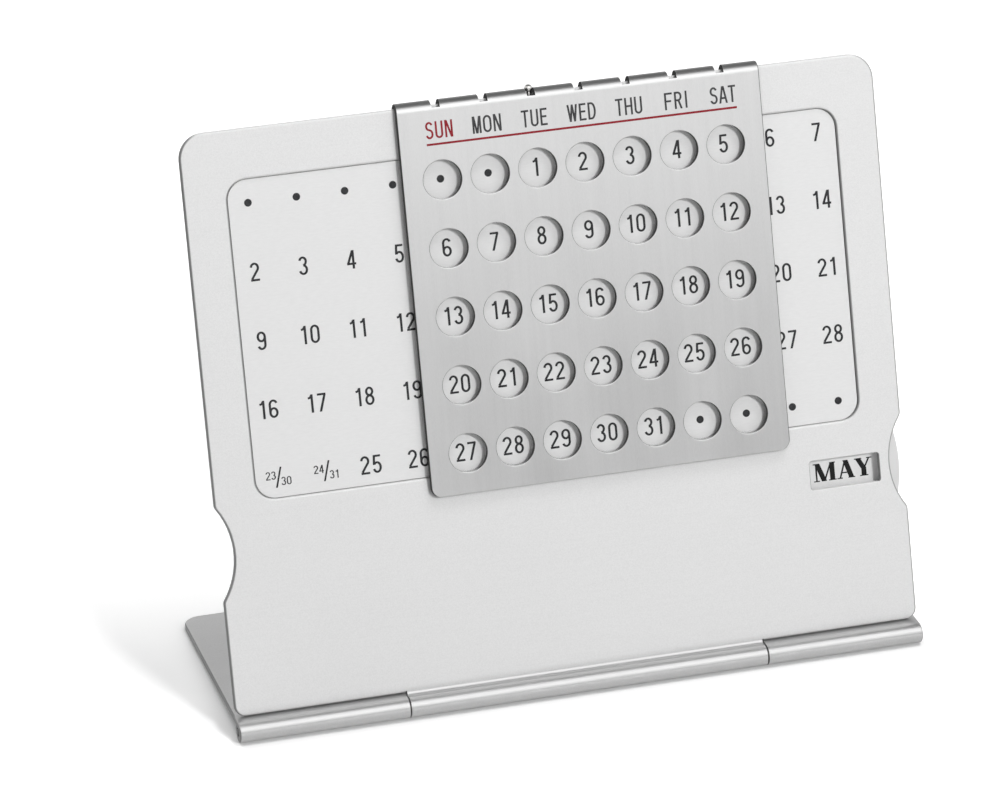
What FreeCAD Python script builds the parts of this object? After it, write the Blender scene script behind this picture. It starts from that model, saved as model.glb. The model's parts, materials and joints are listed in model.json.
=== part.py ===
import FreeCAD, Part
import math
import os

# Perpetual desk calendar in aluminium sheet, standing as it is used.
# Millimetres. +X runs along the hinge to the right, +Y to the rear, +Z up.
# The table is at Z = 0 and the origin is the middle of the footprint.
#
# Each group is drawn in its own upright frame first: X along the hinge, Y to the rear,
# Z up from the hinge axis. The panel group is then leaned back and the base tilted down.

V = FreeCAD.Vector

# Front panel
panel_width = 140.0
panel_height = 116.6  # hinge axis to the top edge, along the sheet
sheet = 1.1  # thickness of the panel and of the base
lean_deg = 19.2  # the panel leans back by this much from upright
top_corner = 5.0
bottom_corner = 2.2
front_round = 0.5  # rounding of the panel's front outline
back_round = 0.2
stop_gap = 0.02  # the side edges rest on the base, this far above it

# Finger notches in both side edges
finger_offset = 0.6  # notch's middle above the month disc's centre
finger_height = 18.6
finger_depth = 3.0
finger_blend = 1.5

# Stamped seat for the number plate
field_side_margin = 8.55  # panel's side edge to the seat
field_top_margin = 9.8  # panel's top edge to the seat
field_gap = 5.2  # month disc's spacer to the seat
field_depth = 0.7
field_corner = 4.0
field_round = 0.5
number_plate_thickness = 0.3
number_plate_gap = 0.12

# Number grid on the plate, and the part of it that the slider frames
columns = 13
rows = 5
slider_columns = 7
side_column_margin = 4.03  # outer column's centre to the seat's side
first_row_margin = 4.65  # first row's centre to the seat's top
last_row_margin = 4.03

# Hinge
pin_radius = 0.9
pin_clearance = 0.05
pin_chamfer = 0.2
pin_recess = 1.5  # each end of the pin lies this far inside its knuckle
left_knuckle = 34.1
right_knuckle = 32.2
knuckle_gap = 0.35
panel_roll_end_deg = 38.0  # where the panel's rolled edge stops, above the rear
tab_overlap = 2.0  # the rolled tab's section runs this far up into the flat sheet
base_roll_end_deg = 15.0

# Base plate
base_depth = 47.8  # hinge axis to the rear edge, along the plate
base_corner = 3.5
base_round = 0.3
base_notch_clearance = 1.15  # free space behind the panel's knuckle

# Date slider
slider_edge = 7.99  # outer window's centre to the slider's side
slider_overhang = 4.0  # slider's lower edge below the seat
slider_sheet = 0.9
slider_gap = 0.4  # between the slider's legs and the panel's faces
slider_corner = 2.0
slider_round = 0.25
fold_clearance = 0.1  # between the panel's top edge and the fold
back_leg_gap = 1.6  # back leg's lower edge above the stamped seat
back_leg_corner = 1.0
slider_step = 1  # rest place, in columns right of the middle
window_diameter = 7.7
window_round = 0.15

# Click stop: notches in the slider's fold, a sprung pin in the panel's top edge
notch_clearance = 0.04  # the pin's head passes down through the notch
notch_flare = 0.1  # each side of the notch leans outwards by this much
click_head_radius = 0.78
click_head_rise = 0.95  # head centre above the panel's top edge
click_shank_radius = 0.45
click_foot_radius = 0.85
click_foot_thickness = 0.5
click_side_clearance = 0.1
click_travel = 1.75
click_neck = 1.0  # length of the narrow part of the slot
click_spring_length = 3.6
spring_wire = 0.25
spring_turns = 5
spring_side_clearance = 0.1

# Month disc behind the panel
disc_foot = 6.8  # disc's lowest point above the hinge axis
month_window_width = 14.45
month_window_height = 5.85
month_window_corner = 0.6
month_window_round = 0.2
window_rim_margin = 4.975  # window's outer side to the disc's rim
disc_radius = 27.4
disc_thickness = 0.9
disc_inset = 0.3  # disc's rim inside the panel's side edge
disc_round = 0.25
spacer_thickness = 1.2
spacer_radius = 5.0
stud_radius = 2.0
stud_clearance = 0.05
face_gap = 0.02
wave_radius = 4.3
wave_sheet = 0.25
wave_bow = 0.3
retainer_radius = 4.0
retainer_sheet = 0.3
retainer_dish = 0.5
retainer_bite = 0.03
retainer_slots = 4
retainer_slot_width = 0.5
stud_tail = 0.3

spare = 1.0  # how far a cutter runs past what it cuts
near = 1e-3  # two positions this close are taken as the same

# Sizes that follow from these
bore_radius = pin_radius + pin_clearance
knuckle_radius = bore_radius + sheet
panel_front = bore_radius
panel_back = knuckle_radius
panel_middle = panel_front + sheet / 2
side = panel_width / 2
knuckle_left_end = -side + left_knuckle
knuckle_right_end = side - right_knuckle
tab_left = knuckle_left_end + knuckle_gap
tab_right = knuckle_right_end - knuckle_gap
bend_height = knuckle_radius + bore_radius
base_tilt = math.asin((knuckle_radius + bore_radius) / base_depth)
lean = math.radians(lean_deg)
stop_angle = lean - base_tilt
side_edge = (knuckle_radius * (1 + math.sin(stop_angle)) + stop_gap) / math.cos(stop_angle)
inner_fold = sheet / 2 + slider_gap
outer_fold = inner_fold + slider_sheet
fold_centre = panel_height + fold_clearance - inner_fold
crest = fold_centre + outer_fold
month_height = disc_foot + disc_radius
finger_centre = month_height + finger_offset
field_width = panel_width - 2 * field_side_margin
field_bottom = month_height + spacer_radius + field_gap
field_top = panel_height - field_top_margin
field_height = field_top - field_bottom
field_middle = (field_bottom + field_top) / 2
column_pitch = (field_width - 2 * side_column_margin) / (columns - 1)
row_pitch = (field_height - first_row_margin - last_row_margin) / (rows - 1)
first_row = field_top - first_row_margin
slider_centre = slider_step * column_pitch
slider_width = (slider_columns - 1) * column_pitch + 2 * slider_edge
slider_bottom = field_bottom - slider_overhang
back_foot = field_top + back_leg_gap
notch_half = click_head_radius + notch_clearance
notch_floor = fold_centre + math.sqrt(inner_fold**2 - notch_half**2)
disc_x = side - disc_inset - disc_radius
month_window_x = disc_x + disc_radius - window_rim_margin - month_window_width / 2
disc_front = panel_back + spacer_thickness + face_gap
disc_back = disc_front + disc_thickness
wave_start = disc_back + face_gap
retainer_start = wave_start + wave_bow + wave_sheet + face_gap
head_centre = panel_height + click_head_rise
mouth_centre = head_centre - click_travel - click_side_clearance / 2
neck_floor = mouth_centre - click_head_radius - click_side_clearance - click_neck
foot_top = neck_floor - face_gap
foot_bottom = foot_top - click_foot_thickness
chamber_floor = foot_bottom - click_spring_length
base_notch = knuckle_radius + base_notch_clearance
base_rear = (
    (base_depth - base_round) * math.cos(base_tilt)
    + (knuckle_radius - base_round) * math.sin(base_tilt)
    + base_round
)
origin_shift = (knuckle_radius - base_rear) / 2


def box(x0, x1, y0, y1, z0, z1):
    return Part.makeBox(x1 - x0, y1 - y0, z1 - z0, V(x0, y0, z0))


def rod(radius, y0, y1, x=0.0, z=0.0):
    """A cylinder along Y."""
    return Part.makeCylinder(radius, y1 - y0, V(x, y0, z), V(0, 1, 0))


def ring(outer, inner, y0, y1, x, z):
    return rod(outer, y0, y1, x, z).cut(rod(inner, y0, y1, x, z))


def arc(centre, radius, start_deg, end_deg):
    """An arc in the YZ plane. The angle is counted from +Y towards +Z."""

    def at(degrees):
        a = math.radians(degrees)
        return V(0, centre[0] + radius * math.cos(a), centre[1] + radius * math.sin(a))

    return Part.Arc(at(start_deg), at((start_deg + end_deg) / 2), at(end_deg)).toShape()


def line(y0, z0, y1, z1):
    return Part.LineSegment(V(0, y0, z0), V(0, y1, z1)).toShape()


def between(first, second):
    """A straight edge from the end of one edge to the start of the next."""
    start = first.valueAt(first.LastParameter)
    end = second.valueAt(second.FirstParameter)
    return Part.LineSegment(start, end).toShape()


def along_x(edges, x0, x1):
    """Extrudes a closed YZ outline from x0 to x1."""
    face = Part.Face(Part.Wire(Part.__sortEdges__(edges)))
    face.translate(V(x0, 0, 0))
    return face.extrude(V(x1 - x0, 0, 0))


def is_upright(edge):
    """True for a straight edge that runs along Y, through the sheet."""
    run = edge.valueAt(edge.LastParameter) - edge.valueAt(edge.FirstParameter)
    return abs(run.x) < near and abs(run.z) < near and abs(run.y) > near


def upright_at(solid, x, z):
    """The edges along Y that pass through (x, z)."""
    found = []
    for edge in solid.Edges:
        point = edge.valueAt(edge.FirstParameter)
        if is_upright(edge) and abs(point.x - x) < near and abs(point.z - z) < near:
            found.append(edge)
    return found


def lies_at_y(edge, y):
    b = edge.BoundBox
    return abs(b.YMin - y) < near and abs(b.YMax - y) < near


def rounded_slab(width, height, corner, x, z, y0, y1):
    """A slab with rounded corners. (x, z) is the middle of its face."""
    slab = box(x - width / 2, x + width / 2, y0, y1, z - height / 2, z + height / 2)
    edges = [edge for edge in slab.Edges if is_upright(edge)]
    return slab.makeFillet(corner, edges)


def sheet_outline():
    """The flat part of the panel, with its corners and finger notches."""
    plate = box(-side, side, panel_front, panel_back, side_edge, panel_height)
    for x in (-side, side):
        plate = plate.makeFillet(top_corner, upright_at(plate, x, panel_height))
        plate = plate.makeFillet(bottom_corner, upright_at(plate, x, side_edge))
    half = finger_height / 2
    radius = (half**2 + finger_depth**2) / (2 * finger_depth)
    for sign in (-1, 1):
        x = sign * (side - finger_depth + radius)
        plate = plate.cut(rod(radius, panel_front, panel_back, x, finger_centre))
        for z in (finger_centre - half, finger_centre + half):
            plate = plate.makeFillet(finger_blend, upright_at(plate, sign * side, z))
    front = [e for e in plate.Edges if lies_at_y(e, panel_front)]
    plate = plate.makeFillet(front_round, front)
    back = [e for e in plate.Edges if lies_at_y(e, panel_back)]
    return plate.makeFillet(back_round, back)


def panel_roll():
    """The panel's middle tab: it bends forward over the pin and rolls down and round it."""
    valley = arc((0, bend_height), bore_radius, 0, -90)
    outside = arc((0, 0), knuckle_radius, 90, 360 + panel_roll_end_deg)
    inside = arc((0, 0), bore_radius, 360 + panel_roll_end_deg, 90)
    underside = arc((0, bend_height), knuckle_radius, -90, 0)
    top = bend_height + tab_overlap
    edges = [
        valley,
        outside,
        between(outside, inside),
        inside,
        underside,
        line(panel_back, bend_height, panel_back, top),
        line(panel_back, top, panel_front, top),
        line(panel_front, top, panel_front, bend_height),
    ]
    return along_x(edges, tab_left, tab_right)


def click_slot():
    """The slot in the panel's top edge: a wide mouth, a narrow neck and a spring chamber."""
    head_half = click_head_radius + click_side_clearance
    neck_half = click_shank_radius + click_side_clearance
    foot_half = click_foot_radius + click_side_clearance
    y0 = panel_front - spare
    y1 = panel_back + spare
    mouth = box(-head_half, head_half, y0, y1, mouth_centre, panel_height + spare)
    mouth = mouth.fuse(rod(head_half, y0, y1, 0, mouth_centre))
    neck = box(-neck_half, neck_half, y0, y1, neck_floor, mouth_centre)
    chamber = box(-foot_half, foot_half, y0, y1, chamber_floor, neck_floor)
    return mouth.fuse([neck, chamber])


def make_front_panel():
    panel = sheet_outline()
    y0 = panel_front - spare
    y1 = panel_back + spare
    slits = box(knuckle_left_end, knuckle_right_end, y0, y1, 0, bend_height)
    under_tab = box(tab_left, tab_right, y0, y1, 0, bend_height + front_round)
    panel = panel.cut([slits, under_tab]).fuse(panel_roll())
    field = (field_width, field_height, field_corner, 0, field_middle)
    boss = rounded_slab(*field, panel_back, panel_back + field_depth)
    rim = [e for e in boss.Edges if lies_at_y(e, panel_back + field_depth)]
    boss = boss.makeFillet(field_round, rim)
    seat = rounded_slab(*field, panel_front, panel_front + field_depth)
    panel = panel.fuse(boss).cut(seat)
    window = rounded_slab(
        month_window_width,
        month_window_height,
        month_window_corner,
        month_window_x,
        month_height,
        panel_front,
        panel_back,
    )
    panel = panel.cut(window).removeSplitter()
    soft = edges_within(panel, 0, field_middle, field_width, field_height, panel_front)
    panel = panel.makeFillet(field_round, soft)
    soft = edges_within(
        panel, month_window_x, month_height, month_window_width, month_window_height, panel_front
    )
    panel = panel.makeFillet(month_window_round, soft)
    return panel.cut(click_slot())


def edges_within(solid, x, z, width, height, y):
    """The edges at depth y that lie inside or on a rectangle."""
    found = []
    for edge in solid.Edges:
        b = edge.BoundBox
        wide = max(abs(b.XMin - x), abs(b.XMax - x)) < width / 2 + near
        tall = max(abs(b.ZMin - z), abs(b.ZMax - z)) < height / 2 + near
        if lies_at_y(edge, y) and wide and tall:
            found.append(edge)
    return found


def make_number_plate():
    seat = panel_front + field_depth
    return rounded_slab(
        field_width - 2 * number_plate_gap,
        field_height - 2 * number_plate_gap,
        field_corner - number_plate_gap,
        0,
        field_middle,
        seat - number_plate_thickness,
        seat,
    )


def base_roll(x0, x1):
    """One of the base's knuckles, with the strip of plate that leads into it."""
    outside = arc((0, 0), knuckle_radius, 90, 360 + base_roll_end_deg)
    inside = arc((0, 0), bore_radius, 360 + base_roll_end_deg, 90)
    edges = [
        outside,
        between(outside, inside),
        inside,
        line(0, bore_radius, base_notch, bore_radius),
        line(base_notch, bore_radius, base_notch, knuckle_radius),
        line(base_notch, knuckle_radius, 0, knuckle_radius),
    ]
    return along_x(edges, x0, x1)


def make_base_plate():
    plate = box(-side, side, base_notch, base_depth, bore_radius, knuckle_radius)
    rear = []
    for edge in plate.Edges:
        b = edge.BoundBox
        if b.ZMax - b.ZMin > sheet / 2 and b.YMin > base_depth - near:
            rear.append(edge)
    plate = plate.makeFillet(base_corner, rear)
    left = base_roll(-side, knuckle_left_end)
    right = base_roll(knuckle_right_end, side)
    plate = plate.fuse([left, right])
    soft = []
    for edge in plate.Edges:
        b = edge.BoundBox
        on_top = abs(b.ZMin - knuckle_radius) < near and abs(b.ZMax - knuckle_radius) < near
        outer_side = min(abs(b.XMin), abs(b.XMax)) > side - base_corner - near
        rear_edge = b.YMin > base_depth - base_corner - near
        if on_top and (outer_side or rear_edge):
            soft.append(edge)
        round_end = abs(b.XMax - b.XMin) < near and abs(abs(b.XMin) - side) < near
        if round_end and b.ZMin < -knuckle_radius + near:
            soft.append(edge)
    return plate.makeFillet(base_round, soft)


def make_hinge_pin():
    length = panel_width - 2 * pin_recess
    pin = Part.makeCylinder(pin_radius, length, V(-length / 2, 0, 0), V(1, 0, 0))
    ends = [e for e in pin.Edges if e.BoundBox.XMax - e.BoundBox.XMin < near]
    return pin.makeChamfer(pin_chamfer, ends)


def make_date_slider():
    """The slider's sheet: a front leg with windows, a fold over the panel and a back leg."""
    front_in = panel_middle - inner_fold
    front_out = panel_middle - outer_fold
    back_in = panel_middle + inner_fold
    back_out = panel_middle + outer_fold
    edges = [
        arc((panel_middle, fold_centre), outer_fold, 180, 0),
        line(back_out, fold_centre, back_out, back_foot),
        line(back_out, back_foot, back_in, back_foot),
        line(back_in, back_foot, back_in, fold_centre),
        arc((panel_middle, fold_centre), inner_fold, 0, 180),
        line(front_in, fold_centre, front_in, slider_bottom),
        line(front_in, slider_bottom, front_out, slider_bottom),
        line(front_out, slider_bottom, front_out, fold_centre),
    ]
    x0 = slider_centre - slider_width / 2
    x1 = slider_centre + slider_width / 2
    slider = along_x(edges, x0, x1)
    for x in (x0, x1):
        slider = slider.makeFillet(slider_corner, upright_at(slider, x, slider_bottom))
        slider = slider.makeFillet(back_leg_corner, upright_at(slider, x, back_foot))
    soft = [e for e in slider.Edges if lies_at_y(e, front_out) and e.BoundBox.ZMin < fold_centre - spare]
    slider = slider.makeFillet(slider_round, soft)
    slider = slider.cut(window_rods(front_out - spare, front_in + slider_gap / 2))
    rims = [e for e in slider.Edges if lies_at_y(e, front_out) and is_window_rim(e)]
    slider = slider.makeFillet(window_round, rims)
    return slider.cut(fold_notches())


def is_window_rim(edge):
    b = edge.BoundBox
    wide = abs(b.XMax - b.XMin - window_diameter) < near
    tall = abs(b.ZMax - b.ZMin - window_diameter) < near
    return wide and tall


def column_places():
    """The slider's column centres at rest."""
    first = slider_centre - column_pitch * (slider_columns - 1) / 2
    return [first + column_pitch * i for i in range(slider_columns)]


def window_rods(y0, y1):
    rods = []
    for row in range(rows):
        for x in column_places():
            rods.append(rod(window_diameter / 2, y0, y1, x, first_row - row * row_pitch))
    return rods


def fold_notches():
    """One notch per column, cut across the top of the fold."""
    y0 = panel_middle - outer_fold - spare
    depth = 2 * (outer_fold + spare)
    top = crest + spare
    top_half = notch_half + notch_flare * (top - notch_floor) / (crest - notch_floor)
    cuts = []
    for x in column_places():
        corners = [
            V(x - notch_half, y0, notch_floor),
            V(x + notch_half, y0, notch_floor),
            V(x + top_half, y0, top),
            V(x - top_half, y0, top),
        ]
        face = Part.Face(Part.makePolygon(corners + corners[:1]))
        cuts.append(face.extrude(V(0, depth, 0)))
    return cuts


def make_click_pin():
    """A turned pin: a ball head, a thin shank and a foot that the spring pushes on."""
    head = Part.makeSphere(click_head_radius, V(0, panel_middle, head_centre))
    shank = Part.makeCylinder(
        click_shank_radius, head_centre - foot_top, V(0, panel_middle, foot_top), V(0, 0, 1)
    )
    foot = Part.makeCylinder(
        click_foot_radius, click_foot_thickness, V(0, panel_middle, foot_bottom), V(0, 0, 1)
    )
    return head.fuse([shank, foot]).removeSplitter()


def arc_towards(start, heading, end):
    """The arc that leaves start along heading and goes through end."""
    chord = end - start
    half_chord = chord.Length / 2
    chord.normalize()
    bisector = heading + chord
    bisector.normalize()
    middle = start + bisector * (half_chord / bisector.dot(chord))
    return Part.Arc(start, middle, end).toShape()


def two_arcs(start, heading, end, end_heading):
    """Two arcs that meet smoothly and join two points, tangent to both headings."""
    gap = end - start
    along = gap.dot(heading + end_heading)
    turn = 2 * (1 - heading.dot(end_heading))
    reach = (math.sqrt(along**2 + turn * gap.dot(gap)) - along) / turn
    meeting = (start + end + (heading - end_heading) * reach) * 0.5
    first = arc_towards(start, heading, meeting)
    last = arc_towards(end, end_heading * -1, meeting)
    return [first, last]


def make_click_spring():
    """A small compression spring under the pin's foot, one coiled wire."""
    wire_radius = spring_wire / 2
    coil_radius = click_foot_radius - spring_side_clearance - wire_radius
    height = click_spring_length - spring_wire - 2 * face_gap
    climb = height / spring_turns / (2 * math.pi)
    steps = 4 * spring_turns
    points = []
    headings = []
    for i in range(steps + 1):
        a = i * math.pi / 2
        points.append(V(coil_radius * math.cos(a), coil_radius * math.sin(a), height * i / steps))
        heading = V(-coil_radius * math.sin(a), coil_radius * math.cos(a), climb)
        headings.append(heading.normalize())
    edges = []
    for i in range(steps):
        edges += two_arcs(points[i], headings[i], points[i + 1], headings[i + 1])
    section = Part.Wire(Part.makeCircle(wire_radius, points[0], headings[0]))
    spring = Part.Wire(edges).makePipeShell([section], True)
    spring.translate(V(0, panel_middle, chamber_floor + wire_radius + face_gap))
    return spring


def make_month_disc():
    disc = ring(disc_radius, stud_radius + stud_clearance, disc_front, disc_back, disc_x, month_height)
    rim = [e for e in disc.Edges if abs(e.BoundBox.XMax - e.BoundBox.XMin - 2 * disc_radius) < near]
    return disc.makeFillet(disc_round, rim)


def make_pivot_stud():
    end = retainer_start + retainer_dish + retainer_sheet + stud_tail
    stud = rod(stud_radius, panel_back, end, disc_x, month_height)
    tip = [e for e in stud.Edges if lies_at_y(e, end)]
    return stud.makeChamfer(stud_tail, tip)


def make_spacer_washer():
    return ring(
        spacer_radius,
        stud_radius + stud_clearance,
        panel_back,
        panel_back + spacer_thickness,
        disc_x,
        month_height,
    )


def make_wave_washer():
    """A bowed spring washer: its sides press on the disc, its middle on the retainer."""
    inner = stud_radius + stud_clearance
    blank = ring(wave_radius, inner, wave_start, retainer_start, disc_x, month_height)
    outer_bend = (wave_radius**2 + wave_bow**2) / (2 * wave_bow) + wave_sheet
    axis_y = wave_start + wave_bow + wave_sheet - outer_bend
    foot = V(disc_x, axis_y, month_height - 2 * wave_radius)
    outside = Part.makeCylinder(outer_bend, 4 * wave_radius, foot, V(0, 0, 1))
    inside = Part.makeCylinder(outer_bend - wave_sheet, 4 * wave_radius, foot, V(0, 0, 1))
    return blank.common(outside.cut(inside))


def make_push_retainer():
    """A dished ring with slots that grips the end of the stud."""
    grip = stud_radius - retainer_bite
    corners = [
        V(grip, retainer_start + retainer_dish, 0),
        V(retainer_radius, retainer_start, 0),
        V(retainer_radius, retainer_start + retainer_sheet, 0),
        V(grip, retainer_start + retainer_dish + retainer_sheet, 0),
    ]
    face = Part.Face(Part.makePolygon(corners + corners[:1]))
    dish = face.revolve(V(0, 0, 0), V(0, 1, 0), 360)
    slot_end = (stud_radius + retainer_radius) / 2
    y1 = retainer_start + retainer_dish + 2 * retainer_sheet
    half = retainer_slot_width / 2
    slots = []
    for i in range(retainer_slots):
        slot = box(0, slot_end, retainer_start - retainer_sheet, y1, -half, half)
        slot.rotate(V(0, 0, 0), V(0, 1, 0), 360 * i / retainer_slots)
        slots.append(slot)
    dish = dish.cut(slots)
    dish.translate(V(disc_x, 0, month_height))
    return dish


def place(shape, tilt):
    """Turns a shape about the hinge axis, then stands the axis at its height above the table."""
    placed = shape.copy()
    placed.rotate(V(0, 0, 0), V(1, 0, 0), -math.degrees(tilt))
    placed.translate(V(0, origin_shift, knuckle_radius))
    return placed


def write(name, shape, tilt):
    placed = place(shape, tilt)
    placed.exportStep("parts/" + name + ".step")
    print(name, len(placed.Solids), round(placed.Volume, 2), placed.isValid())


def main():
    os.makedirs("parts", exist_ok=True)
    write("base_plate", make_base_plate(), base_tilt)
    write("hinge_pin", make_hinge_pin(), base_tilt)
    write("front_panel", make_front_panel(), lean)
    write("number_plate", make_number_plate(), lean)
    write("date_slider", make_date_slider(), lean)
    write("click_pin", make_click_pin(), lean)
    write("click_spring", make_click_spring(), lean)
    write("month_disc", make_month_disc(), lean)
    write("pivot_stud", make_pivot_stud(), lean)
    write("spacer_washer", make_spacer_washer(), lean)
    write("wave_washer", make_wave_washer(), lean)
    write("push_retainer", make_push_retainer(), lean)


main()
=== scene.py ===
# %% [markdown]
# A perpetual desk calendar in aluminium sheet. Its solids come packed from the construction model,
# already at their real size and place. This lesson dresses them: it sets up a camera, gives each
# piece the finish that its maker would give it, prints the numbers and names, and lights the object
# softly on a pale table. Loading the frame comes first, because everything else is measured from it.

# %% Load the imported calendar
import json
import math
import bpy
import bmesh
from mathutils import Matrix, Vector


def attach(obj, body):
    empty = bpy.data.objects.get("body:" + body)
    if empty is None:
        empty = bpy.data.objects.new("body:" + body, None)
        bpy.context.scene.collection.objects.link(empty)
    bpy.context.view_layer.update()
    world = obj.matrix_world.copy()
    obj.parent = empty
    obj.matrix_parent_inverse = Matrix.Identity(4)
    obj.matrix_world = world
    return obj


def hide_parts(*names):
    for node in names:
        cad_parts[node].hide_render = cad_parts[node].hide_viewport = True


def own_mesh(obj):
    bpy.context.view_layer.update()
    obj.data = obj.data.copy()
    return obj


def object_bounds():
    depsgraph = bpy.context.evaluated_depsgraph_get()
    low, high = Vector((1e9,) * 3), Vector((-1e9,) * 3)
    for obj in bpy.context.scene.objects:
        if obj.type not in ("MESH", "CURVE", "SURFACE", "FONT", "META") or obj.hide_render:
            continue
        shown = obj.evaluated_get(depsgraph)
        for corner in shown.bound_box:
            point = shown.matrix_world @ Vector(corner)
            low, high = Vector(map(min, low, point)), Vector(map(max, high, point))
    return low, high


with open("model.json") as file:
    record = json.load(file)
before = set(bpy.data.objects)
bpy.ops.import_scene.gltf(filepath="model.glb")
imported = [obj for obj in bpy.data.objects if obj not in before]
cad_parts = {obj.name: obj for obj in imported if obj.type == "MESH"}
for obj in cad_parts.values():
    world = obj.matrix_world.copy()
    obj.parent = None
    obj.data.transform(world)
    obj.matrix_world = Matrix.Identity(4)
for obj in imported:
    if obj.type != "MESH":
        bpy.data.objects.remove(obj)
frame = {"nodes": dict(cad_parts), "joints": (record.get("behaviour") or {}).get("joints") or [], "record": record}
cad_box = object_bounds()
nodes = frame["nodes"]
joints = {joint["name"]: joint for joint in frame["joints"]}
mm = 0.001
print("pieces in the frame:", ", ".join(sorted(nodes)))

# %% [markdown]
# Nearly everything here lies flat on the leaning panel, so it is drawn in the panel's own plane:
# x along the hinge, y up the sheet from the hinge, z out of its front. One matrix then stands such a
# drawing up. It could be typed in as an angle, but the joints already hold it: the month disc turns
# about the panel's normal, and the fold turns about the hinge.

# %% The panel's own plane
hinge = Vector(joints["panel_fold"]["pos_m"])
across = Vector((1, 0, 0))
outward = Vector(joints["month_turn"]["axis"]).normalized()
up_the_panel = outward.cross(across)
panel_plane = Matrix.Translation(hinge) @ Matrix((across, up_the_panel, outward)).transposed().to_4x4()
lean = math.atan2(up_the_panel.y, up_the_panel.z)


def reach(node, direction):
    """The lowest and highest place of a node along a direction, from the hinge."""
    places = [direction.dot(vertex.co - hinge) for vertex in nodes[node].data.vertices]
    return min(places), max(places)


print("the panel leans back by", round(math.degrees(lean), 2), "degrees")

# %% [markdown]
# The camera of a product picture stands well back with a long lens, so that the sheet's edges stay
# nearly parallel. Its place is given as a photographer would: the angle round the object, the height
# above the table, the distance, and the point that it aims at. The plain Standard view is set too, so
# that a colour comes out as it was written.

# %% Camera
camera_round = math.radians(-16.0686)
camera_height = math.radians(27.913)
camera_distance = 1121.7 * mm
camera_aim = Vector((-11.71, -2.39, 55.94)) * mm
camera_lens = 208.14
camera_film = 36.0
nearest_seen = 0.01
farthest_seen = 20.0

away = Vector(
    (
        math.sin(camera_round) * math.cos(camera_height),
        -math.cos(camera_round) * math.cos(camera_height),
        math.sin(camera_height),
    )
)
camera_data = bpy.data.cameras.new("product_camera")
camera_data.lens = camera_lens
camera_data.sensor_width = camera_film
camera_data.sensor_fit = "HORIZONTAL"
camera_data.clip_start = nearest_seen
camera_data.clip_end = farthest_seen
camera = bpy.data.objects.new("product_camera", camera_data)
camera.location = camera_aim + away * camera_distance
camera.rotation_euler = away.to_track_quat("Z", "Y").to_euler()
bpy.context.scene.collection.objects.link(camera)
bpy.context.scene.camera = camera
bpy.context.scene.view_settings.view_transform = "Standard"
print("camera at", [round(value, 4) for value in camera.location])

# %% [markdown]
# A finish is a small network of shader nodes. Two helpers keep each one readable: the first starts a
# material, with its constants on the shader's own sockets, and the second adds a node. A third gives
# the finished material to pieces of the construction model, whose meshes stay as they are.

# %% Materials and nodes
def new_finish(name, colour, metallic, roughness):
    """A material with its constants on the shader's own sockets."""
    material = bpy.data.materials.new(name)
    material.use_nodes = True
    shader = material.node_tree.nodes["Principled BSDF"]
    shader.inputs["Base Color"].default_value = (*colour, 1)
    shader.inputs["Metallic"].default_value = metallic
    shader.inputs["Roughness"].default_value = roughness
    return material.node_tree, shader, material


def add(tree, kind, **settings):
    """A node of that kind. Settings are its own properties, and inputs go by name in a dict."""
    made = tree.nodes.new(kind)
    inputs = settings.pop("inputs", {})
    for key, value in settings.items():
        setattr(made, key, value)
    for key, value in inputs.items():
        made.inputs[key].default_value = value
    return made


def dress(finish, *names):
    """Gives a finish to CAD pieces."""
    for name in names:
        nodes[name].data.materials.clear()
        nodes[name].data.materials.append(finish)
    print(finish.name, "on", ", ".join(names))


print(len(nodes), "pieces wait for a finish")

# %% [markdown]
# Noise gives a number to each spot of a surface, and it rarely leaves its middle. So only the middle
# of its range is read, and spread over the tones or the roughness that a finish should have. Two
# colours are mixed by such a number in the same way.

# %% Values and colours
noise_low = 0.3
noise_high = 0.7


def spread(tree, value, low, high, to_low, to_high):
    """Maps a value from one range to another."""
    limits = {"From Min": low, "From Max": high, "To Min": to_low, "To Max": to_high}
    ranged = add(tree, "ShaderNodeMapRange", inputs=limits)
    tree.links.new(value, ranged.inputs["Value"])
    return ranged.outputs["Result"]


def combined(tree, operation, first, second):
    """Two values made into one, as by MULTIPLY, ADD or MAXIMUM."""
    made = add(tree, "ShaderNodeMath", operation=operation)
    tree.links.new(first, made.inputs[0])
    tree.links.new(second, made.inputs[1])
    return made.outputs[0]


def blend_colours(tree, factor, first, second):
    """Two colours mixed by a factor. Either may be a socket."""
    mix = add(tree, "ShaderNodeMix", data_type="RGBA")
    tree.links.new(factor, mix.inputs["Factor"])
    for name, colour in (("A", first), ("B", second)):
        socket = [one for one in mix.inputs if one.name == name and one.type == "RGBA"][0]
        if isinstance(colour, tuple):
            socket.default_value = (*colour, 1)
        else:
            tree.links.new(colour, socket)
    return [one for one in mix.outputs if one.type == "RGBA"][0]


def grey(level):
    """A colour without a hue."""
    return (level, level, level)


def wander(tree, noise, low, high):
    """A value that wanders between two with a noise."""
    return spread(tree, noise, noise_low, noise_high, low, high)


def mottle(tree, noise, first, second):
    """A colour that wanders between two with a noise."""
    return blend_colours(tree, wander(tree, noise, 0, 1), first, second)


print("noise is read from", noise_low, "to", noise_high)

# %% [markdown]
# A brush or a blast leaves marks that are far smaller than the piece. Noise makes them too, with the
# place on the piece stretched so that it gives specks, or streaks along one direction. That place is
# read in the piece's own coordinates, turned into the panel's directions, so the grain stays on the
# sheet when a joint moves it. The same noise raises a little relief that catches the light.

# %% Grain
def place_from(tree, origin):
    """The place on a piece, measured from a point, in the piece's own coordinates."""
    where = add(tree, "ShaderNodeTexCoord")
    apart = add(tree, "ShaderNodeVectorMath", operation="SUBTRACT", inputs={1: origin})
    tree.links.new(where.outputs["Object"], apart.inputs[0])
    return apart.outputs[0]


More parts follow.
